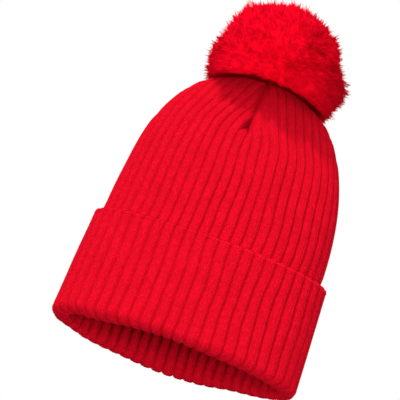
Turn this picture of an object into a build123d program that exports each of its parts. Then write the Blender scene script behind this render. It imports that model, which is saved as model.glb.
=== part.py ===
"""Pom pom beanie: a ribbed knit hat with a turned-up cuff and a yarn pom tied on its crown.

The hat stands upright on the fold of its cuff, as it sits on a head, a little flattened from front
to back. The origin is the centre of the brim, on the surface that the fold rests on. +Z is up, +X
is across the hat and -Y is its front. The relief of the ribs and the strands of the yarn are a
surface finish and aren't part of these solids.
"""

import os
from math import sqrt

from build123d import *

os.makedirs("parts", exist_ok=True)

# Knit tube and crown
tube_width = 154.0  # outside, side to side
tube_depth = 72.0  # outside, front to back
knit_thickness = 4.0  # one layer of the rib knit
crown_height = 200.0  # top of the crown above the resting surface
dome_start_height = 60.0  # the tube is straight below this
dome_power = 3.0  # how late the crown draws in
width_fullness = 2.4  # how square the shoulders are, seen from the front
depth_fullness = 3.0  # and seen from the side
crown_tip_share = 0.2  # width of the gathered tip as a share of the tube
dome_sections = 12
dome_spacing = 1.4  # above 1, the sections lie closer together low on the dome

# Turned-up cuff
cuff_height = 80.0
cuff_play = 0.6  # between the tube and the cuff's top edge
cuff_flare_width = 3.8  # how far the cuff stands out at the fold, at each side
cuff_flare_depth = 2.0  # and at the front and the back
fold_thickness = 5.0  # height of the fold's floor
fold_clearance = 0.3  # between the fold's floor and the tube's lower end
fold_outer_radius = 3.8
fold_inner_radius = 3.0
cuff_edge_radius = 1.4

# Sewn darts that draw the crown in
dart_start_height = 158.0
dart_seam_width = 2.2
dart_seam_depth = 2.4

# Gather thread that closes the tip of the crown, and the hole it leaves for the tie
tie_hole_diameter = 7.0
gather_inner_diameter = 11.0
gather_outer_diameter = 15.0
gather_thickness = 1.6
gather_clearance = 0.6  # between the gather thread and the dart seams

# Pom tie: a knot below the crown, a neck in the hole and a shank up into the pom
tie_clearance = 0.3  # round the neck, and between it and what turns on it
knot_diameter = 9.0
tail_diameter = 2.2
tail_length = 20.0
tail_splay = 16.0  # degrees from straight down
shank_diameter = 4.0
binding_diameter = 12.0
binding_height = 6.0

# Pom
pom_diameter = 93.0
pom_rise = 10.5  # height of the ball's centre above the top of the crown
pom_bore_clearance = 0.2  # round the shank and the binding
root_radius = 3.0  # the yarn drawn down round the shank, where the ball meets the crown
root_lift = 0.7  # above the shank's lower end
arch_radius = 20.0  # where the underside stands highest off the crown
arch_rise = 6.6  # how high it stands there above the top of the crown
rim_lift = 0.6  # how far the rim of the underside stays above the top of the crown
rim_rounding = 3.0

crown_underside = crown_height - knit_thickness
tube_lower_end = fold_thickness + fold_clearance
pivot_height = crown_height - knit_thickness / 2
neck_radius = tie_hole_diameter / 2 - tie_clearance
arch_height = crown_height + arch_rise
rim_height = crown_height + rim_lift
pom_centre_height = crown_height + pom_rise


def export(part, name):
    """Label a finished piece with its node's name and write its STEP file."""
    part.label = name
    export_step(part, f"parts/{name}.step")


def dome_section(share, inset):
    """Half width, half depth and height of the crown where it has drawn in to a share of the tube."""

    def rise(part_width):
        return (1 - part_width**width_fullness) ** (1 / dome_power)

    half_width = (tube_width / 2 - inset) * share
    half_depth = (tube_depth / 2 - inset) * share ** (width_fullness / depth_fullness)
    dome_rise = crown_height - inset - dome_start_height
    return half_width, half_depth, dome_start_height + dome_rise * rise(share) / rise(crown_tip_share)


def oval(half_width, half_depth, height):
    """A flat ellipse at a height."""
    with BuildSketch(Plane.XY.offset(height)) as outline:
        Ellipse(half_width, half_depth)
    return outline.sketch


def dome(inset, mode):
    """The crown above the straight tube, as a loft of ellipses set in from the outer face."""
    sections = []
    for i in range(dome_sections + 1):
        share = 1 - (1 - crown_tip_share) * (i / dome_sections) ** dome_spacing
        sections.append(oval(*dome_section(share, inset)))
    loft(sections, mode=mode)


def straight_tube(inset, bottom, mode):
    """The straight part of the tube, from a height up to where the crown begins."""
    section = oval(tube_width / 2 - inset, tube_depth / 2 - inset, bottom)
    extrude(section, amount=dome_start_height - bottom, mode=mode)


# Knit body: the outer face, less the same shape set in by one layer of knit, and the tie's hole
with BuildPart() as knit_body:
    straight_tube(0, tube_lower_end, Mode.ADD)
    dome(0, Mode.ADD)
    straight_tube(knit_thickness, tube_lower_end, Mode.SUBTRACT)
    dome(knit_thickness, Mode.SUBTRACT)
    with Locations((0, 0, crown_height)):
        Hole(tie_hole_diameter / 2, depth=2 * knit_thickness)
export(knit_body.part, "knit_body")


# Cuff: an outer layer that flares a little towards the fold, and the fold's floor under the tube
def flared_tube(standoff, bottom, mode):
    """A solid that stands off from the tube, and further off at its bottom, up to the cuff's edge."""
    half_width = tube_width / 2 + standoff
    half_depth = tube_depth / 2 + standoff
    lower = oval(half_width + cuff_flare_width, half_depth + cuff_flare_depth, bottom)
    loft([lower, oval(half_width, half_depth, cuff_height)], ruled=True, mode=mode)


with BuildPart() as turned_up_cuff:
    flared_tube(cuff_play + knit_thickness, 0, Mode.ADD)
    flared_tube(cuff_play, fold_thickness, Mode.SUBTRACT)
    straight_tube(knit_thickness, 0, Mode.SUBTRACT)
    resting_edges = turned_up_cuff.faces().sort_by(Axis.Z)[0].edges().sort_by(SortBy.LENGTH)
    fillet(resting_edges[-1], fold_outer_radius)
    resting_edges = turned_up_cuff.faces().sort_by(Axis.Z)[0].edges().sort_by(SortBy.LENGTH)
    fillet(resting_edges[0], fold_inner_radius)
    fillet(turned_up_cuff.faces().sort_by(Axis.Z)[-1].edges(), cuff_edge_radius)
export(turned_up_cuff.part, "turned_up_cuff")


# Dart seams: four sewn ridges on the inner face of the crown, from the darts' points to its tip
seam_inner_radius = gather_outer_diameter / 2 + gather_clearance
seam_reach = tube_width / 2
seam_rise = crown_height - dart_start_height
seam_middle_height = dart_start_height + seam_rise / 2
seam_turns = {"right": 0, "back": 90, "left": 180, "front": 270}
for side, turn in seam_turns.items():
    with BuildPart() as dart_seam:
        dome(knit_thickness, Mode.ADD)
        dome(knit_thickness + dart_seam_depth, Mode.SUBTRACT)
        with Locations(Location((0, 0, seam_middle_height), (0, 0, turn))):
            with Locations((seam_inner_radius + seam_reach / 2, 0, 0)):
                Box(seam_reach, dart_seam_width, seam_rise, mode=Mode.INTERSECT)
    export(dart_seam.part, f"crown_dart_seam_{side}")


# Gather thread: a flat ring of thread under the tip of the crown
with BuildPart() as crown_gather_thread:
    with BuildSketch(Plane.XY.offset(crown_underside)):
        Circle(gather_outer_diameter / 2)
        Circle(gather_inner_diameter / 2, mode=Mode.SUBTRACT)
    extrude(amount=-gather_thickness)
export(crown_gather_thread.part, "crown_gather_thread")


# Knot: a round knot below the neck, with two trimmed ends of yarn
knot_middle = pivot_height - neck_radius - tie_clearance - knot_diameter / 2
with BuildPart() as pom_knot:
    with Locations((0, 0, knot_middle)):
        Sphere(knot_diameter / 2)
    for lean in (tail_splay, -tail_splay):
        with Locations(Location((0, 0, knot_middle), (lean, 0, 0))):
            Cylinder(
                tail_diameter / 2, tail_length, align=(Align.CENTER, Align.CENTER, Align.MAX)
            )
export(pom_knot.part, "pom_knot")


# Neck: the tie where it passes through the crown, a ball about the point that the pom tips on
with BuildPart() as pom_tie_neck:
    with Locations((0, 0, pivot_height)):
        Sphere(neck_radius)
export(pom_tie_neck.part, "pom_tie_neck")


# Shank: the tie from the neck up into the middle of the pom
shank_bottom = pivot_height + neck_radius + tie_clearance
binding_bottom = pom_centre_height
binding_top = binding_bottom + binding_height
with BuildPart() as pom_tie_shank:
    with BuildSketch(Plane.XY.offset(shank_bottom)):
        Circle(shank_diameter / 2)
    extrude(amount=binding_top - shank_bottom)
export(pom_tie_shank.part, "pom_tie_shank")


# Binding: the tie wound round the waist of the yarn bundle, on the shank
with BuildPart() as pom_binding:
    with BuildSketch(Plane.XY.offset(binding_bottom)):
        Circle(binding_diameter / 2)
        Circle(shank_diameter / 2, mode=Mode.SUBTRACT)
    extrude(amount=binding_height)
export(pom_binding.part, "pom_binding")


# Pile: the trimmed ball of yarn. Its underside is drawn down to the tie in the middle and droops
# towards the rim, and it is hollow round the binding
rim_radius = sqrt((pom_diameter / 2) ** 2 - (pom_centre_height - rim_height) ** 2)
root_bottom = shank_bottom + root_lift
with BuildPart() as pom_pile:
    with Locations((0, 0, pom_centre_height)):
        Sphere(pom_diameter / 2)
    split(bisect_by=Plane.XY.offset(rim_height), keep=Keep.TOP)
    fillet(pom_pile.faces().sort_by(Axis.Z)[0].edges(), rim_rounding)
    with Locations((0, 0, rim_height)):
        Cone(
            rim_radius - rim_rounding,
            arch_radius,
            arch_height - rim_height,
            align=(Align.CENTER, Align.CENTER, Align.MIN),
            mode=Mode.SUBTRACT,
        )
    with Locations((0, 0, root_bottom)):
        Cone(
            root_radius,
            arch_radius,
            arch_height - root_bottom,
            align=(Align.CENTER, Align.CENTER, Align.MIN),
        )
    with BuildSketch(Plane.XY.offset(root_bottom)):
        Circle(shank_diameter / 2 + pom_bore_clearance)
    extrude(amount=binding_bottom - root_bottom, mode=Mode.SUBTRACT)
    with BuildSketch(Plane.XY.offset(binding_bottom)):
        Circle(binding_diameter / 2 + pom_bore_clearance)
    extrude(amount=binding_height, mode=Mode.SUBTRACT)
export(pom_pile.part, "pom_pile")
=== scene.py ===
"""Pom pom beanie: the looks of a rib-knit hat with a turned-up cuff and a yarn pom on its crown.

The knit is one closed skin carried round its profile, outside and inside, and cut along grooves
into panels. The ribs, the stitches and the four sewn darts are relief on that skin. The pom is a
few thousand cut yarn ends, each a bunch of tapered fibres. Lengths are in millimetres until a mesh
is made, x runs to the wearer's left, y to the back and z up, as in the frame.
"""

import math

import bpy
import numpy as np
from mathutils import Matrix, Vector


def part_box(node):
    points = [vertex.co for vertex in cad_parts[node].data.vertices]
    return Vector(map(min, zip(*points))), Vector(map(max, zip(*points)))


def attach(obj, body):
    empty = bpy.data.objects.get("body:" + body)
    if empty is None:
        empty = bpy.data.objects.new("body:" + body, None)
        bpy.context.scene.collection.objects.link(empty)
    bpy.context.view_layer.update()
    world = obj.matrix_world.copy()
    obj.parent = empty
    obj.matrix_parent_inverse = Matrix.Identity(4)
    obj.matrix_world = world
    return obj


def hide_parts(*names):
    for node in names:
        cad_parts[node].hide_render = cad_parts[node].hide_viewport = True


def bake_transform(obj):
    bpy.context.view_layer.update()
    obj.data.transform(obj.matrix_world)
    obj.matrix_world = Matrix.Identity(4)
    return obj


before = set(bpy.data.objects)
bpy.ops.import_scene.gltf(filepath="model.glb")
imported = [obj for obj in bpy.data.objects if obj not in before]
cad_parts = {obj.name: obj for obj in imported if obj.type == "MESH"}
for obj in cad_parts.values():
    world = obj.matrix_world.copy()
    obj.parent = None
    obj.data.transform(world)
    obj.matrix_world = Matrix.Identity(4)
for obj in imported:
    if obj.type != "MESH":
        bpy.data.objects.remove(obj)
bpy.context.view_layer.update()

MM = 0.001
TAU = 2 * math.pi


def high_corner(node):
    """A node's highest corner, in millimetres."""
    _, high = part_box(node)
    return np.array(high) / MM


# ---------------------------------------------------------------- sizes
HALF_WIDTH, HALF_DEPTH, CROWN_TOP = high_corner("knit_body")
CUFF_TOP = high_corner("turned_up_cuff")[2]
KNIT = 4.0  # thickness of one layer
DOME_START = 60.0  # the tube is straight below this height
DOME_POWER = 3.0  # how late the crown draws in
WIDTH_FULLNESS = 2.4  # how square the crown's shoulders are across the hat
DEPTH_FULLNESS = 3.0  # and from front to back
TIP_SHARE = 0.2  # width of the crown's tip as a share of the tube's
HOLE_RADIUS = 3.5
SNUG = 0.5  # how far the face that the relief stands on lies inside the solid's face
LOWER_END = 2.5  # height of the tube's lower end, which is sunk in the cuff's fold

CUFF_STANDOFF = 0.6  # between the tube's solid and the cuff's
CUFF_FLARE_WIDTH = 3.8  # how far the cuff stands out at the fold, at each side
CUFF_FLARE_DEPTH = 2.0  # and at the front and the back
CUFF_EDGE_RADIUS = 1.9
FOLD_INNER_RADIUS = 4.0
FOLD_OUTER_RADIUS = 5.6
FOLD_FLOOR = 5.5  # height of the fold's hidden upper side
LIP_TOP = 13.5  # how high the fold's lip runs up inside
LIP_BEND = 10.0  # above this the lip leans into the tube's knit
LIP_THICKNESS = 1.8
LIP_INSET = 0.3  # how far the lip's inner face stands in from the tube's

# ---------------------------------------------------------------- ribs, stitches and darts
RIBS = 50
PANEL_STARTS = (0, 6, 13, 19, 25, 31, 38, 44, 50)  # the rib that each panel starts at, and the end
SAMPLES = 16  # columns of the grid for each rib
WALES = 4  # columns of stitches for each rib
COURSE = 1.6  # height of a row of stitches
ROW = COURSE / 3  # step of the grid along the section
OUTER_PHASE = 0.0
CUFF_PHASE = 0.81  # how far the cuff's and the inside's ribs are turned from the outer ones
OUTER_FULL = 2.6  # fullness of the outer ribs
FOLD_FULL = 2.4  # where the fold turns in
INNER_FULL = 1.8  # and inside
FULL_BORDER = 2.3  # ribs less full than this are on the inner face
OUTER_SEAM = 0.4  # how far a dart's seam is sunk below the grooves of the outer face
PLAIN_SEAM = 0.1
SEAM_BORDER = 0.3  # seams sunk deeper than this are on the outer face
RIB_BASE = 0.85  # share of a rib's height that lies below the face it stands on
STITCH_RELIEF = 0.3
SOFT_ROWS = 8  # rows over which the inner face's painted shade fades out, to each side of its border

DART_RIBS = np.array([0, 13, 25, 38, 50])  # where the darts lie: front, +X side, back, -X side, front
DART_SHIFT = 0.065  # radians that the front and back darts lie off the middle
DART_TURNS = np.array([-0.5, 0, 0.5, 1, 1.5]) * math.pi - np.array([1, 0, 1, 0, 1]) * DART_SHIFT
DART_RIB_WIDTH = 6.5  # width that the side darts leave to the other ribs
SIDE_DART_LIMIT = 3.8  # most ribs that one side of a side dart takes in
SIDE_DART_START = 128  # height from which they do
SIDE_DART_RISE = 40
INNER_RIDGE = 0.5  # how far the darts' seams stand out on the inner face
PUCKER, PUCKER_LENGTH = 0.2, 3.4
PIT_HEIGHT = 154.5  # where the pit at the front dart's point starts
PIT_OUTER, PIT_INNER = -2.8, 2.6  # how far the two faces move in it

WANDER = 0.045  # how far the ribs waver, as a share of a rib
DRIFT, OUTER_DRIFT = 0.15, 0.08  # how far they drift, and how far on the body's outer face
UNEVEN = 0.18  # how much their depth varies
FLATTENING = 0.75  # how much shallower they are where they are drawn flat
BULGE = 0.5  # how far the knit bulges out or in as a whole

# Painted shade: how dark the knit is painted, from 0 to 1
GROOVE_SHADE = 0.45
SEAM_SHADE = 0.45
PIT_SHADE = 0.65
COVERED_SHADE = 0.6  # painted shade under the pom, where little light reaches
COVERED_HEIGHT = 195.0  # it starts here
COVERED_WIDTH = 22  # and reaches this far to each side


# ================================================================ small tools


def smooth(x):
    """Smoothstep from 0 to 1 as x goes from 0 to 1."""
    x = np.clip(x, 0, 1)
    return x * x * (3 - 2 * x)


def softly_over(x, width):
    """x where it is well above zero, 0 where it is well below, and a smooth bend between."""
    return (x + np.sqrt(x * x + width * width)) / 2


LATTICE = 64  # random numbers along each side of a noise table


def lattice_noise(x, y, seed, wrap=LATTICE):
    """Value noise: random numbers on a unit lattice, blended with smoothstep between its corners."""
    table = np.random.default_rng(seed).uniform(-1, 1, (LATTICE, LATTICE))
    x0, y0 = np.floor(x).astype(int), np.floor(y).astype(int)
    fx, fy = smooth(x - x0), smooth(y - y0)
    xa, xb, ya, yb = x0 % wrap, (x0 + 1) % wrap, y0 % LATTICE, (y0 + 1) % LATTICE
    low = table[xa, ya] * (1 - fx) + table[xb, ya] * fx
    high = table[xa, yb] * (1 - fx) + table[xb, yb] * fx
    return low * (1 - fy) + high * fy


def ring_noise(ribs, other, cells, seed, shift=0):
    """Noise that closes on itself round the hat, with so many cells in the ring of ribs."""
    return lattice_noise(ribs * (cells / RIBS) + shift, other, seed, wrap=cells)


def ball_noise(direction, scale, seed):
    """Smooth noise on a ball, from three lattices looked up along its three axes."""
    x, y, z = (direction * scale + 20).T
    first = lattice_noise(x, y, seed)
    second = lattice_noise(y + 7, z, seed + 1)
    third = lattice_noise(z + 3, x, seed + 2)
    return (first + second + third) / 1.7


def make_object(name, points, triangles, uv=None, attributes=None, corners=None, normals=None, flat=None):
    """A mesh object from points in millimetres and triangles, smooth but for the flat ones."""
    mesh = bpy.data.meshes.new(name)
    mesh.vertices.add(len(points))
    mesh.vertices.foreach_set("co", (np.asarray(points) * MM).astype(np.float32).ravel())
    mesh.loops.add(triangles.size)
    mesh.loops.foreach_set("vertex_index", triangles.astype(np.int32).ravel())
    mesh.polygons.add(len(triangles))
    mesh.polygons.foreach_set("loop_start", np.arange(0, triangles.size, 3, dtype=np.int32))
    mesh.update(calc_edges=True)
    mesh.polygons.foreach_set("use_smooth", np.ones(len(triangles), bool) if flat is None else ~flat)
    if uv is not None:
        mesh.uv_layers.new(name="knit").data.foreach_set("uv", np.asarray(uv, np.float32).ravel())
    for domain, layers in (("POINT", attributes or {}), ("CORNER", corners or {})):
        for key, values in layers.items():
            layer = mesh.attributes.new(key, "FLOAT", domain)
            layer.data.foreach_set("value", np.asarray(values, np.float32))
    if normals is not None:
        mesh.normals_split_custom_set(np.asarray(normals, np.float32).reshape(-1, 3))
    piece = bpy.data.objects.new(name, mesh)
    bpy.context.scene.collection.objects.link(piece)
    return piece


def welded(points, triangles):
    """Points that coincide become one; triangles that lose a corner or cancel out are left out."""
    keys = np.round(points * 1e4).astype(np.int64)
    _, first, inverse = np.unique(keys, axis=0, return_index=True, return_inverse=True)
    joined = inverse.reshape(-1)[triangles]
    a, b, c = joined.T
    kept = (a != b) & (b != c) & (c != a)
    ordered = np.sort(joined, axis=1)
    _, where, copies = np.unique(ordered, axis=0, return_inverse=True, return_counts=True)
    kept &= copies[where.reshape(-1)] == 1
    return points[first], joined[kept], kept


def grid_triangles(rows, columns, close_rows=False, close_columns=False):
    """Two triangles for each cell of a grid of points numbered row by row."""
    r = np.arange(rows if close_rows else rows - 1)
    c = np.arange(columns if close_columns else columns - 1)
    r, c = np.meshgrid(r, c, indexing="ij")
    r2, c2 = (r + 1) % rows, (c + 1) % columns
    p, q, s, t = r * columns + c, r * columns + c2, r2 * columns + c2, r2 * columns + c
    halves = np.stack([p, q, s], -1), np.stack([p, s, t], -1)
    return np.concatenate([half.reshape(-1, 3) for half in halves])


# ================================================================ the knit


class Profile:
    """A closed section through the knit: half width, half depth and height along its length.

    It runs down the inside, out along the bottom, up the outside and back in over the top. Each
    stretch has its own row spacing, rib phase, rib depth, sewn-in depth at the darts, edge relief and
    fullness of the ribs.
    """

    def __init__(self):
        self.parts = []

    def add(self, wide, deep, high, spacing, phase, depth, seam=PLAIN_SEAM, edge=0.0, full=OUTER_FULL):
        """One stretch: half widths, half depths, heights, row spacing, and the ribs' depth at its ends."""
        points = np.stack(np.broadcast_arrays(wide, deep, high), -1).astype(float)
        self.parts.append((points, spacing, (phase, seam, edge, full), depth))

    def rows(self):
        """Rows at even steps of arc length: place, direction, distance along and the relief's settings."""
        found = []
        start = 0.0
        for points, spacing, settings, depth in self.parts:
            step = np.diff(points, axis=0)
            length = np.hypot(np.hypot(step[:, 0], step[:, 1]) / math.sqrt(2), step[:, 2])
            along = np.concatenate([[0], np.cumsum(length)])
            count = max(1, round(along[-1] / spacing))
            at = np.linspace(0, along[-1], count, endpoint=False)
            place = np.stack([np.interp(at, along, points[:, i]) for i in range(3)], -1)
            depths = np.interp(at, [0, along[-1]], depth)
            found.append((place, start + at, np.tile(settings, (count, 1)), depths))
            start += along[-1]
        place, along, settings, depth = (np.concatenate(x) for x in zip(*found))
        return place, np.roll(place, -1, 0) - np.roll(place, 1, 0), along, settings, depth


def dome_stretch(inset, share_from, share_to, count=400):
    """The crown's section: s of the tube's width, s^0.8 of its depth, risen by (1 - s^2.4)^(1/3)."""
    share = np.linspace(share_from, share_to, count)
    rise = (1 - share**WIDTH_FULLNESS) ** (1 / DOME_POWER)
    full_rise = (1 - TIP_SHARE**WIDTH_FULLNESS) ** (1 / DOME_POWER)
    half_width = (HALF_WIDTH - inset) * share
    half_depth = (HALF_DEPTH - inset) * share ** (WIDTH_FULLNESS / DEPTH_FULLNESS)
    return half_width, half_depth, DOME_START + (CROWN_TOP - inset - DOME_START) * rise / full_rise


def body_profile():
    """The tube and the crown, from the inner face's top down, round the lower end and up outside.

    The lower end is sunk in the cuff's fold, so that no gap shows between the two on the inside.
    """
    inner = dome_stretch(KNIT, TIP_SHARE, 1.0)
    outer = dome_stretch(SNUG, 1.0, TIP_SHARE)
    under, top = CROWN_TOP - KNIT, outer[2][-1]
    wide, deep, out_wide, out_deep = inner[0][-1], inner[1][-1], outer[0][0], outer[1][0]
    tip_wide, tip_deep = [inner[0][0], outer[0][-1]], [inner[1][0], outer[1][-1]]
    hole = [HOLE_RADIUS] * 2
    under_wide, under_deep = [HOLE_RADIUS, tip_wide[0]], [HOLE_RADIUS, tip_deep[0]]
    inside = {"phase": CUFF_PHASE, "full": INNER_FULL}
    outside = {"phase": OUTER_PHASE, "seam": OUTER_SEAM}
    profile = Profile()
    profile.add(under_wide, under_deep, under, 1.6, depth=(0.3, 0.8), **inside)
    profile.add(*inner, 5 * ROW, depth=(0.8, 1.3), **inside)
    profile.add([wide] * 2, [deep] * 2, [DOME_START, LOWER_END], 4 * ROW, depth=(1.3, 1.6), **inside)
    profile.add([wide, out_wide], [deep, out_deep], LOWER_END, 1.3, CUFF_PHASE, (1.6, 0.6))
    profile.add([out_wide] * 2, [out_deep] * 2, [LOWER_END, DOME_START], ROW, depth=(0.8, 2.1), **outside)
    profile.add(*outer, ROW, depth=(2.1, 1.2), **outside)
    profile.add([tip_wide[1], HOLE_RADIUS], [tip_deep[1], HOLE_RADIUS], top, 1.2, OUTER_PHASE, (1.2, 0.3))
    profile.add(hole, hole, [top, under], 1.4, OUTER_PHASE, (0.3, 0.3))
    return profile


def cuff_profile():
    """The cuff: a short lip up inside, the round fold, the outer layer, and its hidden inner side.

    The lip lies within the tube's thickness, so that the inside looks like one piece of knit.
    """
    profile = Profile()

    def stretch(standoff, height, flare, spacing, depth, edge=0.0, full=OUTER_FULL):
        standoff, height, flare = (np.asarray(value, float) for value in (standoff, height, flare))
        half_width = HALF_WIDTH + standoff + CUFF_FLARE_WIDTH * flare
        half_depth = HALF_DEPTH + standoff + CUFF_FLARE_DEPTH * flare
        profile.add(half_width, half_depth, height, spacing, CUFF_PHASE, depth, edge=edge, full=full)

    def flare_at(height):
        return (CUFF_TOP - np.asarray(height, float)) / (CUFF_TOP - FOLD_OUTER_RADIUS)

    inner, outer = -KNIT - LIP_INSET, CUFF_STANDOFF + KNIT - SNUG
    back, inside = inner + LIP_THICKNESS, outer - 2 * CUFF_EDGE_RADIUS
    top = CUFF_TOP - CUFF_EDGE_RADIUS
    quarter, half = np.linspace(0, math.pi / 2, 24), np.linspace(0, math.pi, 24)
    stretch([back, inner], [LIP_TOP, LIP_BEND], 0, 0.9, (1.0, 1.3), full=INNER_FULL)
    stretch([inner, inner], [LIP_BEND, FOLD_INNER_RADIUS], 0, ROW, (1.3, 1.3), full=INNER_FULL)
    turn_in = inner + FOLD_INNER_RADIUS * (1 - np.cos(quarter))
    stretch(turn_in, FOLD_INNER_RADIUS * (1 - np.sin(quarter)), 0, ROW, (1.3, 1.5), full=FOLD_FULL)
    stretch([inner + FOLD_INNER_RADIUS, outer - FOLD_OUTER_RADIUS], 0, [0, 1], ROW, (1.5, 1.5))
    turn_out = outer - FOLD_OUTER_RADIUS * (1 - np.sin(quarter))
    stretch(turn_out, FOLD_OUTER_RADIUS * (1 - np.cos(quarter)), 1.0, ROW, (1.5, 1.9))
    heights = np.linspace(FOLD_OUTER_RADIUS, top, 60)
    stretch(outer, heights, flare_at(heights), ROW, (1.9, 1.9))
    over_edge = outer - CUFF_EDGE_RADIUS * (1 - np.cos(half))
    stretch(over_edge, top + CUFF_EDGE_RADIUS * np.sin(half), flare_at(top), 0.5, (1.6, 0.7), 0.35)
    stretch([inside, inside], [top, FOLD_FLOOR], flare_at([top, FOLD_FLOOR]), 5 * ROW, (0.3, 0.3))
    stretch([inside, back], FOLD_FLOOR, [1.0, 0], 2.0, (0.2, -0.8))
    stretch([back, back], [FOLD_FLOOR, LIP_TOP], 0, 2.0, (-0.8, -0.9))
    return profile


def taken_in(height, limit, *slopes):
    """Ribs that one side of a dart takes in at a height: slopes added up, to a limit.

    A slope is a number of ribs for each millimetre, the height it starts at and the width of its bend.
    """
    return min(sum(rate * softly_over(height - start, bend) for rate, start, bend in slopes), limit)


def ring_angles(half_width, half_depth, height, ribs, darts):
    """Angles of ribs round an ellipse, even by arc length between darts that take some ribs in.

    The front and back darts take in ribs at a steady rate above their points. The side darts take in
    what is still too many for the others to keep their width. Returned with them: how many each
    dart takes in on its lower-numbered and its higher-numbered side.
    """
    angle = np.linspace(DART_TURNS[0], DART_TURNS[4], 721)
    speed = np.hypot(half_width * np.sin(angle), half_depth * np.cos(angle))
    length = np.concatenate([[0], np.cumsum((speed[1:] + speed[:-1]) / 2 * (angle[1] - angle[0]))])
    at_dart = np.interp(DART_TURNS, angle, length)
    counts = np.diff(DART_RIBS)
    below, above = np.zeros(5), np.zeros(5)
    if darts:
        below[4] = taken_in(height, 2.9, (0.1, 158, 7), (-0.045, 169, 6))
        above[0] = taken_in(height, 3.1, (0.060, 150, 5))
        below[2] = above[2] = taken_in(height, 3.0, (0.058, 151, 5))
        spare = counts - np.diff(at_dart) / DART_RIB_WIDTH
        spare = np.clip(spare - np.array([above[0], below[2], above[2], below[4]]), 0, SIDE_DART_LIMIT)
        spare = spare * smooth((height - SIDE_DART_START) / SIDE_DART_RISE)
        below[1], above[1], below[3], above[3] = spare
    knots = np.stack([DART_RIBS[:4] + above[:4], DART_RIBS[1:] - below[1:]], -1).ravel()
    places = np.stack([at_dart[:4], at_dart[1:]], -1).ravel()
    knots = np.concatenate([knots - RIBS, knots, knots + RIBS])
    places = np.concatenate([places - length[-1], places, places + length[-1]])
    place = np.interp(ribs, knots, places)
    turns = np.floor(place / length[-1])
    return np.interp(place - turns * length[-1], length, angle) + turns * TAU, below, above


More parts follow.
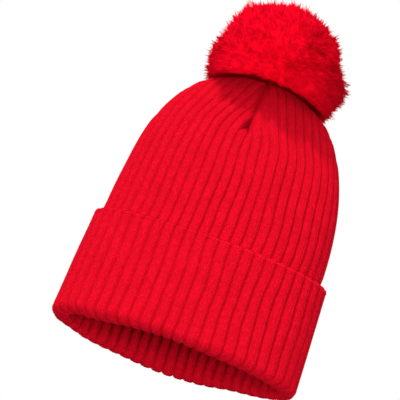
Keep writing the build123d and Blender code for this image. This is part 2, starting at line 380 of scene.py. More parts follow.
def knit_shell(name, profile, panel_offset, darts):
    """The panels of one knit shell: points on its section's ellipses, moved out by the relief.

    A rib is (1 - |2u - 1|^f)^0.6 high across its width u, with f its fullness. A stitch is a pebble
    that leans with the V of its two legs. Beside a dart the relief sinks into the seam. The
    attribute painted_shading is painted shade in the grooves, the inside, the pit, the darts' seams
    and the knit under the pom, and painted light on the inner ribs' tops.
    """
    place, tangent, along, settings, depth = profile.rows()
    rows, columns = len(place), RIBS * SAMPLES + 1
    phase, seam_depth, edge, full = (settings[:, i : i + 1] for i in range(4))
    inner_face, outer_face = full < FULL_BORDER, seam_depth > SEAM_BORDER
    ribs = np.linspace(0, RIBS, columns)[None, :] + panel_offset
    height = place[:, 2:]
    wander = WANDER * ring_noise(ribs, height / 14, 32, 12)
    drift = ring_noise(ribs, height / 24, 8, 11)
    wander = wander + (np.where(inner_face, DRIFT, OUTER_DRIFT) if darts else DRIFT) * drift
    lean = ribs + wander
    angles = np.empty((rows, columns))
    taken_below, taken_above = np.zeros((rows, 5)), np.zeros((rows, 5))
    for i in range(rows):
        angles[i], taken_below[i], taken_above[i] = ring_angles(*place[i], lean[i], darts)
    wide, deep, high = (place[:, i : i + 1] for i in range(3))
    x, y, z = wide * np.cos(angles), deep * np.sin(angles), high + 0 * angles
    dw, dd, dz = (tangent[:, i : i + 1] for i in range(3))
    slope = -(x**2 * dw / wide**3 + y**2 * dd / deep**3)
    outward = np.stack([x / wide**2 * dz, y / deep**2 * dz, slope], -1)
    outward /= np.linalg.norm(outward, axis=-1, keepdims=True)

    across = np.mod(ribs + phase, 1)
    courses = along[:, None] / COURSE + 0 * across
    rib = (1 - np.abs(2 * across - 1) ** full) ** 0.6
    wale = np.abs(np.mod(across * WALES + 0.5, 1) * 2 - 1)
    leaning = 0.7 + 0.3 * np.cos(TAU * (courses - 0.5 * wale))
    stitch = ((1 - wale**2) * leaning - 0.5) * (0.3 + 0.7 * rib)
    level = depth[:, None] * (1 + UNEVEN * ring_noise(ribs, z / 23, 32, 13, shift=5))
    # the ribs on the front dart's +X side are drawn flat between its point and the tip
    flatter = smooth((4.4 - ribs) / 1.5) * smooth((z - 154) / 10) * smooth((196 - z) / 8) if darts else 0
    level = level * (1 - FLATTENING * flatter)
    loops, rounds = 0.5 + 0.5 * np.cos(TAU * WALES * ribs), 0.75 + 0.25 * np.cos(TAU * courses)
    relief = level * (rib - RIB_BASE) + STITCH_RELIEF * stitch + edge * loops * rounds
    # 1 on the inner face, with no sharp border
    inside = sum(np.roll(inner_face, k, 0) for k in range(-SOFT_ROWS, SOFT_ROWS + 1)) / (2 * SOFT_ROWS + 1)
    # painted shade inside: darker in the grooves, higher up and towards -X where less light gets in, and
    # painted light on the ribs' tops
    deeper = (0.3 + 0.25 * smooth((-x - 5) / 45)) * smooth((height - 4) / 18)
    painted_shading = inside * (0.85 * np.abs(2 * across - 1) ** 1.5 - 0.2 + deeper)
    # painted shade in the outer grooves, half as strong high on the +X side of the crown, in the pom's
    # shadow
    shaded = 1 - 0.5 * smooth((z - 174) / 12) * smooth(x / 10)
    painted_shading = painted_shading + (1 - inside) * GROOVE_SHADE * shaded * np.abs(2 * across - 1) ** 3
    painted_shading = painted_shading * (1 - FLATTENING * flatter)
    if darts:
        share_of_dart = 0 * relief
        for k, dart in enumerate(DART_RIBS):
            below, above = taken_below[:, k : k + 1], taken_above[:, k : k + 1]
            away = np.maximum(np.maximum(dart - below - lean, lean - (dart + above)), 0)
            active = smooth(np.where(lean < dart, below, above) / 0.5)
            pucker = PUCKER * np.cos(TAU * z / PUCKER_LENGTH) * np.exp(-away * 3)
            sunk = np.where(inner_face, INNER_RIDGE, -0.86 * level - seam_depth) + pucker
            share = active * (1 - smooth(away / 0.8))
            relief = relief * (1 - share) + sunk * share
            share_of_dart = np.maximum(share_of_dart, share)
        # the rib on the front dart's -X side ends in a small pit at the dart's point
        rounded = 2.6 * (2 * np.mod(lean, 1) - 1) ** 2
        pit = smooth((lean - 48.95) / 0.2) * smooth((z + rounded - PIT_HEIGHT) / 6) * smooth((177 - z) / 9)
        relief = relief + np.where(outer_face, PIT_OUTER, PIT_INNER) * pit
        # painted shade in the pit and along the darts' seams
        painted_shading = np.maximum(painted_shading, np.maximum(PIT_SHADE * pit, SEAM_SHADE * share_of_dart))
        # painted shade: little light reaches the knit under the pom, so it is painted darker there, most
        # near the middle of the front and back
        covered = smooth((z - COVERED_HEIGHT - 1.5 * ring_noise(ribs, 0 * z, 32, 15)) / 4)
        painted_shading = np.maximum(painted_shading, COVERED_SHADE * covered * np.exp(-((x / COVERED_WIDTH) ** 4)))
    bulge = BULGE * ring_noise(ribs, z / 40, 16, 14) * np.where(outer_face, 1, -1)
    points = np.stack([x, y, z], -1) + outward * (relief + bulge)[..., None]
    points = settled(points, cuff=not darts)
    points[:, -1] = points[:, 0]
    uv = np.stack([ribs + phase + 0 * courses, courses], -1)
    normals = shell_normals(points, outward)
    panels = []
    for k in range(len(PANEL_STARTS) - 1):
        own = slice(PANEL_STARTS[k] * SAMPLES, PANEL_STARTS[k + 1] * SAMPLES + 1)
        fields = (field[:, own] for field in (points, normals, uv, painted_shading))
        panels.append(knit_panel(f"{name}_{k + 1}", *fields))
    return panels


def shell_normals(points, outward):
    """Normals of a closed shell's grid, from its neighbours, or outward where those coincide."""
    ahead = np.roll(points, -1, 0) - np.roll(points, 1, 0)
    ring = points[:, :-1]
    sideways = np.roll(ring, -1, 1) - np.roll(ring, 1, 1)
    sideways = np.concatenate([sideways, sideways[:, :1]], 1)
    normals = np.cross(sideways, ahead)
    size = np.linalg.norm(normals, axis=-1, keepdims=True)
    return np.where(size > 1e-4, normals / np.maximum(size, 1e-9), outward)


def zipped(loop):
    """Triangles across a long thin closed loop, zipped up from its first and last points."""
    first, last, found = 0, len(loop) - 1, []
    while first + 1 < last:
        across_first = np.linalg.norm(loop[first + 1] - loop[last])
        across_last = np.linalg.norm(loop[first] - loop[last - 1])
        on_first = across_first < across_last
        found.append((first, first + 1, last) if on_first else (first, last - 1, last))
        first, last = (first + 1, last) if on_first else (first, last - 1)
    return np.array(found)


def knit_panel(name, points, normals, uv, painted_shading):
    """A panel's mesh: its grid closed round the profile, and caps across the knit at its two sides."""
    rows, columns = points.shape[:2]
    triangles = [grid_triangles(rows, columns, close_rows=True)]
    surface = len(triangles[0])
    for column in (0, columns - 1):
        cap = zipped(points[:, column]) * columns + column
        triangles.append(cap if column == 0 else cap[:, ::-1])
    triangles = np.concatenate(triangles)
    flat = np.arange(len(triangles)) >= surface
    corner_normals = normals.reshape(-1, 3)[triangles]
    corners = points.reshape(-1, 3)[triangles]
    face = np.cross(corners[:, 1] - corners[:, 0], corners[:, 2] - corners[:, 0])
    face /= np.maximum(np.linalg.norm(face, axis=1, keepdims=True), 1e-9)
    corner_normals[flat] = face[flat][:, None]
    kept_points, joined, kept = welded(points.reshape(-1, 3), triangles)
    uv = uv.reshape(-1, 2)[triangles]
    painted_shading = {"painted_shading": painted_shading.reshape(-1)[triangles][kept].ravel()}
    shading = {"uv": uv[kept], "corners": painted_shading, "normals": corner_normals[kept], "flat": flat[kept]}
    return make_object(name, kept_points, joined, **shading)


def flat_size(rows, ribs):
    """Width, length and area, in metres, of a flat piece of so many ribs along rows of a section."""
    wide, deep, high = rows.T
    pitch = math.pi * (3 * (wide + deep) - np.sqrt((3 * wide + deep) * (wide + 3 * deep))) / RIBS
    step = np.hypot(np.hypot(np.diff(wide), np.diff(deep)) / math.sqrt(2), np.diff(high))
    area = ((pitch[1:] + pitch[:-1]) / 2 * step).sum() * ribs
    return pitch.max() * ribs * MM, step.sum() * MM, area * MM * MM


BRIM_FADE = 45  # the brim's arch fades out up to this height


def settled(points, cuff=False):
    """Points moved as the worn-in hat lies: its front brim arches up, and its crown leans a little."""
    x, y, z = (points[..., i] for i in range(3))
    low_down = 1 - smooth(z / BRIM_FADE)
    arch = (-0.0625 * y + 0.00075 * y**2) * low_down
    corners = 1.8 * smooth((-x - 55) / 22) + 1.4 * smooth((x - 62) / 16)
    behind = 1.8 * smooth((x - 18) / 28) * smooth((84 - x) / 22) - 1.3 * np.exp(-((x / 20) ** 2))
    arch = arch + (corners + behind * smooth(y / 15)) * low_down
    sag = (1.5 + 0.025 * np.maximum(-y, 0)) * smooth((z - 30) / 48) if cuff else 0
    sway = 0.8 * smooth((z - 76) / 12) * smooth((155 - z) / 60)
    taper = 1 - 0.010 * smooth((z - 85) / 40) * smooth((190 - z) / 20)
    return np.stack([x * taper + sway, y, z + arch - sag], -1)


# ================================================================ the pom

POM_CENTRE = np.array([1.8, 0.0, 211.5])
POM_RADIUS = 45.0
POM_LIFT = 11.0  # how far the underside's middle lies below the pom's centre
POM_ENDS = 2500  # yarn ends spread over the ball
POM_FIBRES = 17  # fibres of each yarn end
POM_STRANDS = 90  # loose strands lying over the pile
FIBRE_RADIUS = 0.27
FIBRE_SHARES = np.array([0.0, 0.28, 0.62, 0.9, 1.0])  # where a fibre's ends and rings lie along it
FIBRE_TAPER = np.array([0.0, 1.0, 0.95, 0.65, 0.0])  # how thick it is there
FIBRE_POINTS = 11  # two ends and three rings of three
FIBRE_CLEARANCE = 1.4  # height that a fibre's root, bend and tip keep over the crown
FIBRE_LIFT = 16  # furthest that a point is lifted for it
CORE_CLEARANCE = 2.2  # and that the core keeps
CORE_SHARE = 0.93  # size of the core as a share of the pile
CORE_OVERLAP = 3  # height over which each part of the core draws in towards its end
CORE_DRAW = 0.14  # how far it draws in there, as a share of its reach
ROOT_SHARE = 0.78  # where a fibre starts, as a share of its reach
SHORTEST, LONGEST = 0.01, 0.065  # how far the longer fibres stand out, as a share of the reach
LONG_SHARE = 0.14  # how many of the fibres do
# how light the loose strands are painted: painted light on yarn that lies over the pile
STRAND_SHADE = 1.6
LEAN, ODD_LEAN = 0.065, 0.045  # how far yarn ends lean with their neighbours, and by chance
FLARE, LOOSE_FLARE = 0.019, 0.045  # how far a yarn end's fibres flare, and its loose ones
LOOSE_SHARE = 0.5  # how many of the fibres are loose
STANDING_SHARE = 0.3  # how many of the yarn ends stand out as tight tufts
STANDING_FLARE = 0.45  # how far these flare, as a share of the others
CREASE_DEPTH, CREASE_SHADE = 0.06, 2.6  # how far the pile sinks where tufts part, and how dark it is painted there as painted shade
LUMPS = 0.022  # how lumpy the pile is, as a share of its reach
POM_SEED, STRAND_SEED, FIBRE_SEED = 7, 9, 70
# Three heights up the pile: its fibres are split into an under and a top layer at the second,
# and the two layers' cores meet there
REST_HEIGHT, NOD_HEIGHT, SWAY_HEIGHT = 194.0, 207.0, 228.0
# where tufts part in front: across the line, and the middle of it
POM_CREASES = (
    ((-0.845, -0.203, 0.494), (0.29, -0.9, 0.126)),
    ((-0.197, -0.016, 0.98), (0.55, -0.77, 0.1)),
)
# where the pile stands out or sinks in: direction, how far (share of the radius), how wide
POM_LOBES = (
    ((-0.8, 0.1, 0.6), 0.03, 0.4),
    ((-0.7, -0.2, 0.69), 0.07, 0.17),
    ((-0.92, -0.11, 0.38), -0.035, 0.16),
    ((-0.93, -0.05, -0.37), 0.055, 0.25),
    ((0.98, -0.05, 0.0), 0.065, 0.16),
    ((0.97, -0.05, -0.18), -0.04, 0.09),
    ((0.93, 0.05, -0.33), -0.02, 0.12),
    ((0.9, -0.1, 0.43), -0.15, 0.16),
    ((0.64, -0.2, 0.74), -0.03, 0.15),
    ((0.35, -0.1, 0.93), -0.025, 0.25),
    ((-0.03, -0.27, 0.96), 0.015, 0.16),
    ((0.62, -0.75, 0.25), 0.05, 0.2),
    ((0.2, -0.95, 0.0), -0.045, 0.18),
    ((-0.3, -0.9, 0.2), 0.035, 0.3),
    ((-0.6, -0.66, -0.45), 0.09, 0.28),
    ((0.0, -0.89, -0.45), 0.05, 0.28),
    ((0.6, -0.66, -0.45), 0.09, 0.28),
    ((0.35, 0.85, 0.3), 0.03, 0.4),
    ((-0.5, 0.75, 0.1), -0.04, 0.35),
    ((-0.58, -0.63, -0.53), 0.13, 0.2),
    ((0.0, -0.84, -0.54), 0.07, 0.2),
    ((0.58, -0.63, -0.53), 0.13, 0.2),
)


def crown_height(points):
    """The crown's height along its width, as far from the axis as each point: its highest there."""
    wide, _, high = dome_stretch(0, 1.0, TIP_SHARE)
    return np.interp(np.hypot(points[:, 0], points[:, 1]), wide[::-1], high[::-1])


def pom_crease(direction):
    """1 along wandering lines over the ball, where tufts part, fading to 0 beside and past them."""
    wander = 0.08 * ball_noise(direction, 4.0, 36)
    lines = []
    for across, middle in POM_CREASES:
        line = np.exp(-(((direction @ across + wander) / 0.07) ** 2))
        lines.append(line * np.exp((direction @ np.array(middle) - 1) / 0.2))
    return np.maximum(*lines)


def pom_reach(direction):
    """Distance from the pom's centre to its surface: a lumpy ball, cut underneath by a shallow cone whose
    middle rises into it.
    """
    across = np.hypot(direction[:, 0], direction[:, 1])
    up = direction[:, 2]
    below = np.maximum(-up - 0.29 * across, 0) / (POM_LIFT + 4.5 * ball_noise(direction, 5.0, 33))
    side, back = (direction[:, 0] / np.maximum(across, 1e-6)) ** 2, smooth(direction[:, 1] * 2)
    sharp = 5.0 + 1.0 * side - 2.2 * back * (1 - side)
    reach = ((1 / POM_RADIUS) ** sharp + below**sharp) ** (-1 / sharp)
    for toward, amount, width in POM_LOBES:
        toward = np.array(toward) / np.linalg.norm(toward)
        reach = reach * (1 + amount * np.exp((direction @ toward - 1) / width**2))
    return reach * (1 + LUMPS * ball_noise(direction, 2.3, 30) - CREASE_DEPTH * pom_crease(direction))


def unit(vectors):
    return vectors / np.linalg.norm(vectors, axis=-1, keepdims=True)


def pom_fibres():
    """Root, bend and tip of every fibre: yarn ends spread evenly, each leaning and flaring by itself."""
    rng = np.random.default_rng(POM_SEED)
    each = (POM_ENDS, POM_FIBRES)
    index = np.arange(POM_ENDS) + 0.5
    up = 1 - 1.6 * index / POM_ENDS
    turn = index * math.pi * (1 + 5**0.5)
    flat = np.sqrt(1 - up**2)
    even = np.stack([flat * np.cos(turn), flat * np.sin(turn), up], -1)
    end = unit(even + rng.normal(0, 0.02, (POM_ENDS, 3)))
    lean = np.stack([ball_noise(end, 3.2, 40 + 5 * k) for k in range(3)], -1) * LEAN
    lean = lean + rng.normal(0, ODD_LEAN, end.shape)
    spread = rng.normal(0, 1, (*each, 3))
    loose = (rng.uniform(0, 1, each) < LOOSE_SHARE)[..., None]
    standing = rng.uniform(0, 1, (POM_ENDS, 1, 1)) < STANDING_SHARE
    flare = np.where(loose, LOOSE_FLARE, FLARE)
    toward = unit((end + lean)[:, None] + spread * flare * np.where(standing, STANDING_FLARE, 1))
    start = unit(end[:, None] + spread * 0.015)
    reach = pom_reach(toward.reshape(-1, 3)).reshape(each)
    length = 1 + 0.018 * rng.normal(size=(POM_ENDS, 1)) + 0.018 * ball_noise(end, 6.0, 60)[:, None]
    length = length + np.where(loose[..., 0], -0.02, 0.015) + np.where(standing[..., 0], 0.025, -0.01)
    length = length + rng.normal(0, 0.01, each)
    length = length + np.where(rng.uniform(0, 1, each) < LONG_SHARE, rng.uniform(SHORTEST, LONGEST, each), 0)
    root = POM_CENTRE + start * (ROOT_SHARE * reach)[..., None]
    tip = POM_CENTRE + toward * (reach * length)[..., None]
    bend = (root + tip) / 2 + spread * 1.1 + rng.normal(0, 0.3, tip.shape)
    # each tuft a random tone, with painted shade where tufts part
    shade = np.repeat(rng.uniform(0, 1, POM_ENDS) - CREASE_SHADE * pom_crease(end), POM_FIBRES)
    return root.reshape(-1, 3), bend.reshape(-1, 3), tip.reshape(-1, 3), shade


def loose_strands():
    """Root, bend and tip of the strands over the pile, each a step along the ball from the one before."""
    rng = np.random.default_rng(STRAND_SEED)
    end = unit(rng.normal(0, 1, (POM_STRANDS, 3)) + [0.25, 0, 0.3])
    step = rng.uniform(2, 5, (POM_STRANDS, 1)) / POM_RADIUS
    first = unit(np.cross(end, rng.normal(0, 1, end.shape))) * step
    second = unit(first + rng.normal(0, 0.5, end.shape) * step) * step
    places = [unit(end), unit(end + first), unit(end + first + second)]
    heights = (0.97, 1.03, 0.99)
    root, bend, tip = (POM_CENTRE + at * (pom_reach(at) * h)[:, None] for at, h in zip(places, heights))
    return root, bend, tip, np.full(POM_STRANDS, STRAND_SHADE)


def clear_of_crown(points):
    """Points lifted clear of the crown, more so by the tie and at two gaps in front, but not too far."""
    x, y, z = points.T
    turn = np.arctan2(x - POM_CENTRE[0], -y)
    gaps = 1.5 * np.exp(-(((turn + 0.03) / 0.14) ** 2)) + 0.9 * np.exp(-(((turn + 0.47) / 0.12) ** 2))
    gaps = gaps + 0.9 * np.maximum(lattice_noise(turn * 4 + 20, 0 * turn, 34), 0)
    by_tie = 1 - smooth((np.hypot(x, y) - 18) / 12)
    floor = crown_height(points) + FIBRE_CLEARANCE + by_tie + gaps
    return np.stack([x, y, np.maximum(z, np.minimum(floor, z + FIBRE_LIFT))], -1)


def fibre_mesh(name, root, bend, tip, thickness, shade, seed):
    """Tapered three-sided fibres along a curve through root, bend and tip, pointed at both ends.

    A point at share t of a fibre is (1-t)^2 root + 2t(1-t) bend + t^2 tip, with three corners round
    it. The shading normals lean outwards from a point low in the pom, because light passes on
    through the yarn.
    """
    count = len(root)
    thick = FIBRE_TAPER * thickness
    t = FIBRE_SHARES[None, :, None]
    line = (1 - t) ** 2 * root[:, None] + 2 * t * (1 - t) * bend[:, None] + t**2 * tip[:, None]
    axis = unit(tip - root)
    side = unit(np.cross(axis, np.random.default_rng(seed).normal(0, 1, (count, 3))))
    other = np.cross(axis, side)
    turns = np.arange(3) * TAU / 3
    ring = np.cos(turns)[None, :, None] * side[:, None] + np.sin(turns)[None, :, None] * other[:, None]
    rings = line[:, 1:4, None, :] + ring[:, None] * thick[None, 1:4, None, None]
    points = np.concatenate([line[:, :1], rings.reshape(count, 9, 3), line[:, 4:]], axis=1)
    faces = [(0, 2, 1), (0, 3, 2), (0, 1, 3), (10, 7, 8), (10, 8, 9), (10, 9, 7)]
    for r in (1, 4):
        for k in range(3):
            a, b, c, d = r + k, r + (k + 1) % 3, r + 3 + (k + 1) % 3, r + 3 + k
            faces += [(a, b, c), (a, c, d)]
    triangles = (np.array(faces)[None] + FIBRE_POINTS * np.arange(count)[:, None, None]).reshape(-1, 3)
    along = np.concatenate([[0.0], np.repeat(FIBRE_SHARES[1:4], 3), [1.0]])
    attributes = {"along": np.tile(along, count), "shade": np.repeat(shade, FIBRE_POINTS)}
    points = points.reshape(-1, 3)
    own = np.zeros((count, FIBRE_POINTS, 3))
    own[:, 1:10] = np.tile(ring, (1, 3, 1))
    normals = unit(unit(points - POM_CENTRE + [0, 0, 14]) + 0.3 * own.reshape(-1, 3))
    return make_object(name, points, triangles, attributes=attributes, normals=normals[triangles])


def pom_core(name, lowest, highest):
    """The part between two heights of a closed lumpy ball under the pile, drawn in where it ends."""
    rows, columns = 60, 120
    polar = np.linspace(0, math.pi, rows)[:, None]
    turn = np.linspace(0, TAU, columns, endpoint=False)[None, :]
    flat, up = np.sin(polar), np.cos(polar) + 0 * turn
    direction = np.stack([flat * np.cos(turn), flat * np.sin(turn), up], -1).reshape(-1, 3)
    reach = pom_reach(direction) * (CORE_SHARE + 0.012 * ball_noise(direction, 9.0, 80))
    height = (POM_CENTRE + direction * reach[:, None])[:, 2]
    below, above = lowest + CORE_OVERLAP - height, height - highest + CORE_OVERLAP
    past = np.maximum(smooth(below / CORE_OVERLAP), smooth(above / CORE_OVERLAP))
    points = POM_CENTRE + direction * (reach * (1 - CORE_DRAW * past))[:, None]
    floor = np.maximum(crown_height(points) + CORE_CLEARANCE, lowest)
    points[:, 2] = np.clip(points[:, 2], floor, highest)
    kept_points, joined, _ = welded(points, grid_triangles(rows, columns, close_columns=True)[:, ::-1])
    count = len(kept_points)
    # painted light: the core, which lies in the pile's shade, is painted about as light as the fibres' tips
    attributes = {"along": np.full(count, 0.9), "shade": np.full(count, 0.6)}
    return make_object(name, kept_points, joined, attributes=attributes)


# ================================================================ materials


class Value:
    """A node's output socket in Python arithmetic: each operation adds a Math node."""

    def __init__(self, shader, socket):
        self.shader = shader
        self.socket = socket

    def math(self, operation, *terms):
        return self.shader.add("ShaderNodeMath", {"operation": operation}, *terms)

    def __add__(self, other):
        return self.math("ADD", self, other)

    def __sub__(self, other):
        return self.math("SUBTRACT", self, other)

    def __mul__(self, other):
        return self.math("MULTIPLY", self, other)

    def __pow__(self, other):
        return self.math("POWER", self, other)

    def __rsub__(self, other):
        return self.math("SUBTRACT", other, self)

    __radd__ = __add__
    __rmul__ = __mul__

    def absolute(self):
        return self.math("ABSOLUTE", self)

    def cosine(self):
        return self.math("COSINE", self)

    def fraction(self):
        return self.math("FRACT", self)

    def floor(self):
        return self.math("FLOOR", self)

    def limited(self, low, high):
        return self.math("MINIMUM", self.math("MAXIMUM", self, low), high)


class Shader:
    """A material's node tree, built by adding nodes whose inputs are values, links or colours."""

    def __init__(self, name):
        self.material = bpy.data.materials.new(name)
        self.material.use_nodes = True
        self.tree = self.material.node_tree
        self.surface = self.tree.nodes["Principled BSDF"]

    def add(self, kind, settings=None, *inputs, output=0, **named):
        """A node with its settings made first, then its inputs by place or by name."""
        node = self.tree.nodes.new(kind)
        for key, value in (settings or {}).items():
            setattr(node, key, value)
        for key, value in list(enumerate(inputs)) + list(named.items()):
            socket = node.inputs[key if isinstance(key, int) else key.replace("_", " ")]
            self.feed(socket, value)
        return Value(self, node.outputs[output])

    def feed(self, socket, value):
        if isinstance(value, Value):
            self.tree.links.new(value.socket, socket)
        else:
            socket.default_value = value

    def set(self, **values):
        """Sockets of the surface shader, by name with _ for a space."""
        for key, value in values.items():
            self.feed(self.surface.inputs[key.replace("_", " ")], value)

    def blend(self, share, first, second):
        """A colour between two colours."""
        node = self.tree.nodes.new("ShaderNodeMix")
        node.data_type = "RGBA"
        self.feed(node.inputs[0], share)
        self.feed(node.inputs[6], first)
        self.feed(node.inputs[7], second)
        return Value(self, node.outputs[2])


def rgb(red, green, blue):
    return (red, green, blue, 1.0)


def knit_material(name, bright, dark):
    """Rib knit: columns of stitches, each of two leaning yarns painted lighter on its legs and darker
    between the columns as painted shade, each stitch a little lighter or darker at random, with fibre over
    all.
    """
    s = Shader(name)
    ribs = s.add("ShaderNodeSeparateXYZ", {}, s.add("ShaderNodeUVMap", {"uv_map": "knit"}))
    courses = Value(s, ribs.socket.node.outputs[1])
    place = s.add("ShaderNodeTexCoord", output=3)
    column = ribs * WALES + 0.5
    wale = (column.fraction() * 2 - 1).absolute()
    leg = (column * 2).fraction() * 2 - 1
    lean = courses - wale * 0.6
    pebble = (1 - leg * leg * 0.8) * (0.3 + 0.7 * ((lean * TAU).cosine() * 0.5 + 0.5))
    body = 1 - wale**4.0
    cell = s.add("ShaderNodeCombineXYZ", {}, (column * 2).floor(), (lean + 0.5).floor())
    chance = s.add("ShaderNodeTexWhiteNoise", {"noise_dimensions": "3D"}, Vector=cell)
    fibre = s.add("ShaderNodeTexNoise", {}, Vector=place, Scale=2600.0, Detail=3.0, Roughness=0.65)
    cloud = s.add("ShaderNodeTexNoise", {}, Vector=place, Scale=90.0, Detail=2.0, Roughness=0.5)
    # painted light and shade over each stitch: lighter on its legs, darker between columns; random tone per
    # stitch, fibre and cloud
    light = 0.42 + pebble * body * 0.4 + chance**3.0 * 0.3 + (fibre - 0.5) * 0.5 + (cloud - 0.5) * 0.25
    painted_shading = s.add("ShaderNodeAttribute", {"attribute_name": "painted_shading"}, output=2)
    # painted shade: the colour is darkened by the painted shading, and where that is strong it goes on
    # towards black
    light = light * (1 - painted_shading)
    deep = ((painted_shading - 0.45) * 1.3).limited(0.0, 0.55)
    s.set(Base_Color=s.blend(deep, s.blend(light.limited(0.0, 1.0), dark, bright), rgb(0.0, 0.0, 0.0)))
    height = pebble * body + fibre * 0.4
    s.set(Normal=s.add("ShaderNodeBump", {}, Strength=0.8, Distance=0.0006, Height=height))
    s.set(Roughness=0.92, Specular_IOR_Level=0.03)
    s.set(Sheen_Weight=0.12, Sheen_Roughness=0.5, Sheen_Tint=rgb(1.0, 0.03, 0.07))
    return s.material


def pile_material(name, root, tip):
    """Cut yarn: painted shade towards the root; its shade attribute adds random tone per tuft, painted shade
    and painted light.
    """
    s = Shader(name)
    along = s.add("ShaderNodeAttribute", {"attribute_name": "along"}, output=2)
    shade = s.add("ShaderNodeAttribute", {"attribute_name": "shade"}, output=2)
    # painted shade towards the root, where the pile shades itself
    light = (along * 0.5 + shade * 0.24 + 0.26).limited(0.0, 1.0)
    s.set(Base_Color=s.blend(light, root, tip), Roughness=0.9, Specular_IOR_Level=0.02)
    s.set(Sheen_Weight=0.1, Sheen_Roughness=0.5, Sheen_Tint=rgb(1.0, 0.01, 0.04))
    return s.material


def yarn_material(name, colour, dark, scale):
    """Plied yarn or thread: mottled in colour and height by fine noise."""
    s = Shader(name)
    place = s.add("ShaderNodeTexCoord", output=3)
    ply = s.add("ShaderNodeTexNoise", {}, Vector=place, Scale=scale, Detail=3.0, Roughness=0.6)
    s.set(Base_Color=s.blend((ply * 1.6 - 0.3).limited(0.0, 1.0), dark, colour), Roughness=0.85)
    bump = s.add("ShaderNodeBump", {}, Strength=0.5, Distance=0.0003, Height=ply)
    s.set(Specular_IOR_Level=0.1, Normal=bump)
    return s.material


knit_yarn = knit_material("rib_knit_red", bright=rgb(1.0, 0.0045, 0.026), dark=rgb(0.36, 0.0002, 0.003))
pile_yarn = pile_material("pom_yarn_red", root=rgb(0.64, 0.0003, 0.006), tip=rgb(1.0, 0.0012, 0.021))
tie_yarn = yarn_material(
    "tie_yarn_red", colour=rgb(0.85, 0.001, 0.015), dark=rgb(0.5, 0.0005, 0.006), scale=1400.0
)
seam_thread = yarn_material(
    "sewing_thread_red", colour=rgb(0.7, 0.001, 0.012), dark=rgb(0.4, 0.0005, 0.005), scale=2200.0
)


# ================================================================ the pieces


def finish_panels(panels, body, node, section):
    """The panels of a shell: each gets the knit, goes on the body and hides the frame's solid; its flat size
    is worked out from the shell's section.
    """
    for k, piece in enumerate(panels):
        piece.data.materials.append(knit_yarn)
        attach(piece, body)
        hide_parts(node)
        width, length, area = flat_size(section, PANEL_STARTS[k + 1] - PANEL_STARTS[k])


def finish_soft(piece, material, start, end):
    """A part of the pile: it gets its material, hides the frame's pile and has its place baked into its
    points; the two heights are turned into metres and not used.
    """
    piece.data.materials.append(material)
    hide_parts("pom_pile")
    start * MM
    end * MM
    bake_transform(piece)


body_section, cuff_section = body_profile(), cuff_profile()
place = body_section.rows()[0]
body_panels = knit_shell("knit_body_panel", body_section, 0.0, True)
outer_rows = place[place[:, 2].argmin() : place[:, 2].argmax() + 1]
finish_panels(body_panels, "crown", "knit_body", outer_rows)
place = cuff_section.rows()[0]
cuff_panels = knit_shell("turned_up_cuff_panel", cuff_section, 1 - CUFF_PHASE, False)
finish_panels(cuff_panels, "cuff", "turned_up_cuff", place[: place[:, 2].argmax() + 1])

root, bend, tip, shade = (np.concatenate(pair) for pair in zip(pom_fibres(), loose_strands()))
root, bend, tip = clear_of_crown(root), clear_of_crown(bend), clear_of_crown(tip)
# Painted shade: yarn close over the crown is painted darker, unevenly, as it gets less light, but not by the
# tie; yarn within 33 mm of the axis, on top and by the tie, is painted lighter as painted light
outside = smooth((np.hypot(tip[:, 0], tip[:, 1]) - 33) / 6)
tucked = outside * (1 - smooth((tip[:, 2] - crown_height(tip) - 3) / 12))
tucked = tucked * (0.3 + 0.7 * np.exp(-((tip[:, 0] / 28) ** 2)))
uneven = 0.6 + 0.7 * ball_noise(unit(tip - POM_CENTRE), 5.0, 37)
shade = shade - 2.4 * tucked * uneven + 0.6 * (1 - outside)

lowest = tip[:, 2] < NOD_HEIGHT
turn = np.arctan2(tip[:, 1], tip[:, 0]) / TAU + 0.5
# For each layer: its yarn, how many pieces, a lower and an upper body, a starting and an ending
# height, and the lowest and highest of its core
LAYERS = {
    "under": (lowest, 2, "knot", "neck", REST_HEIGHT, NOD_HEIGHT, 0, NOD_HEIGHT + 1.5),
    "top": (~lowest, 4, "neck", "pom", NOD_HEIGHT, SWAY_HEIGHT, NOD_HEIGHT - CORE_OVERLAP, 300),
}
for layer, (chosen, count, lower_body, upper_body, start, end, core_low, core_high) in LAYERS.items():
    core = pom_core(f"pom_core_{layer}", core_low, core_high)
    finish_soft(core, pile_yarn, start, end)
    for k in range(count):
        own = chosen & ((turn * count).astype(int) % count == k)
        fibres = root[own], bend[own], tip[own], FIBRE_RADIUS, shade[own], FIBRE_SEED + k
        piece = fibre_mesh(f"pom_pile_{layer}_{k + 1}", *fibres)
        finish_soft(piece, pile_yarn, start, end)

# The tie and the sewing thread keep the frame's own solids
for node, cad_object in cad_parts.items():
    if node.startswith(("pom_", "crown_")):
        cad_object.data.materials.clear()
        cad_object.data.materials.append(tie_yarn if node.startswith("pom_") else seam_thread)


# ================================================================ camera, light and stage


def aim(thing, place, target, lean=0.0):
    """Puts a camera or light at a place, looking at a target, rolled about its own line of sight."""
    back = (Vector(place) - Vector(target)).normalized()
    right = Vector((0, 0, 1)).cross(back).normalized()
    up = back.cross(right)
    roll = math.radians(lean)
    turned_right = right * math.cos(roll) + up * math.sin(roll)
    turned_up = up * math.cos(roll) - right * math.sin(roll)
    turned = Matrix((turned_right, turned_up, back)).transposed().to_4x4()
    turned.translation = Vector(place)
    thing.matrix_world = turned


LOOK_AT = Vector((-0.0181, 0.0, 0.1091))  # in metres, as all that follows down to the floor
HAT_MIDDLE = Vector((0, 0, 0.13))
VIEW_ELEVATION = -16.0
VIEW_ROLL = 20.0
VIEW_DISTANCE = 2.5
VIEW_WIDTH = 0.2668  # what the view takes in, at that distance
SENSOR_WIDTH = 36.0

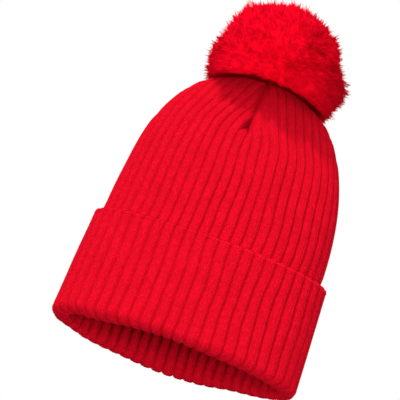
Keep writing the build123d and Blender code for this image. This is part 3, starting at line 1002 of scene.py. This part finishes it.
camera = bpy.data.objects.new("camera", bpy.data.cameras.new("camera"))
bpy.context.scene.collection.objects.link(camera)
bpy.context.scene.camera = camera
camera.data.sensor_width = SENSOR_WIDTH
camera.data.lens = SENSOR_WIDTH * VIEW_DISTANCE / VIEW_WIDTH
elevation = math.radians(VIEW_ELEVATION)
to_camera = Vector((0, -math.cos(elevation), math.sin(elevation)))
aim(camera, LOOK_AT + to_camera * VIEW_DISTANCE, LOOK_AT, VIEW_ROLL)


def area_light(name, direction, distance, size, power):
    """A square soft light, so far from the middle of the hat in a direction, and aimed at it."""
    data = bpy.data.lights.new(name, "AREA")
    data.size = size
    data.energy = power
    light = bpy.data.objects.new(name, data)
    bpy.context.scene.collection.objects.link(light)
    aim(light, HAT_MIDDLE + Vector(direction).normalized() * distance, HAT_MIDDLE)


area_light("key", direction=(-0.42, -0.50, 0.76), distance=2.1, size=0.15, power=31.0)
area_light("front_fill", direction=(-0.1, -1.0, -0.3), distance=2.3, size=1.0, power=29.0)
area_light("right_fill", direction=(1.0, -0.55, 0.05), distance=2.3, size=1.2, power=6.0)
area_light("back_fill", direction=(0.1, 1.0, 0.3), distance=2.3, size=1.2, power=34.0)

WORLD_LIGHT = 0.53  # strength of the white surroundings, except as the camera sees them
world = bpy.data.worlds.new("white_room")
bpy.context.scene.world = world
world.use_nodes = True
sky = world.node_tree.nodes["Background"]
path = world.node_tree.nodes.new("ShaderNodeLightPath")
level = world.node_tree.nodes.new("ShaderNodeMapRange")
level.inputs["To Min"].default_value = WORLD_LIGHT
level.inputs["To Max"].default_value = 1.0
world.node_tree.links.new(path.outputs["Is Camera Ray"], level.inputs["Value"])
world.node_tree.links.new(level.outputs["Result"], sky.inputs["Strength"])
sky.inputs["Color"].default_value = (1, 1, 1, 1)

# A pale floor far below, which looks white to the camera and isn't seen from underneath
FLOOR_DEPTH = -2600.0
FLOOR_HALF = 12000.0
floor_corners = np.array([[-1, -1, 0], [1, -1, 0], [1, 1, 0], [-1, 1, 0]]) * FLOOR_HALF
floor_corners[:, 2] = FLOOR_DEPTH
floor = make_object("floor", floor_corners, np.array([[0, 1, 2], [0, 2, 3]]))
pale = Shader("pale_floor")
pale.set(Base_Color=rgb(0.35, 0.35, 0.35), Roughness=0.9)
seen = pale.add("ShaderNodeLightPath")
glow = pale.add("ShaderNodeEmission", {}, rgb(1, 1, 1), 1.0)
top_side = pale.add("ShaderNodeMixShader", {}, seen, Value(pale, pale.surface.outputs[0]), glow)
under_side = pale.add("ShaderNodeNewGeometry", output="Backfacing")
mixed = pale.add("ShaderNodeMixShader", {}, under_side, top_side, pale.add("ShaderNodeBsdfTransparent"))
pale.tree.links.new(mixed.socket, pale.tree.nodes["Material Output"].inputs["Surface"])
floor.data.materials.append(pale.material)

bpy.context.scene.view_settings.view_transform = "Standard"
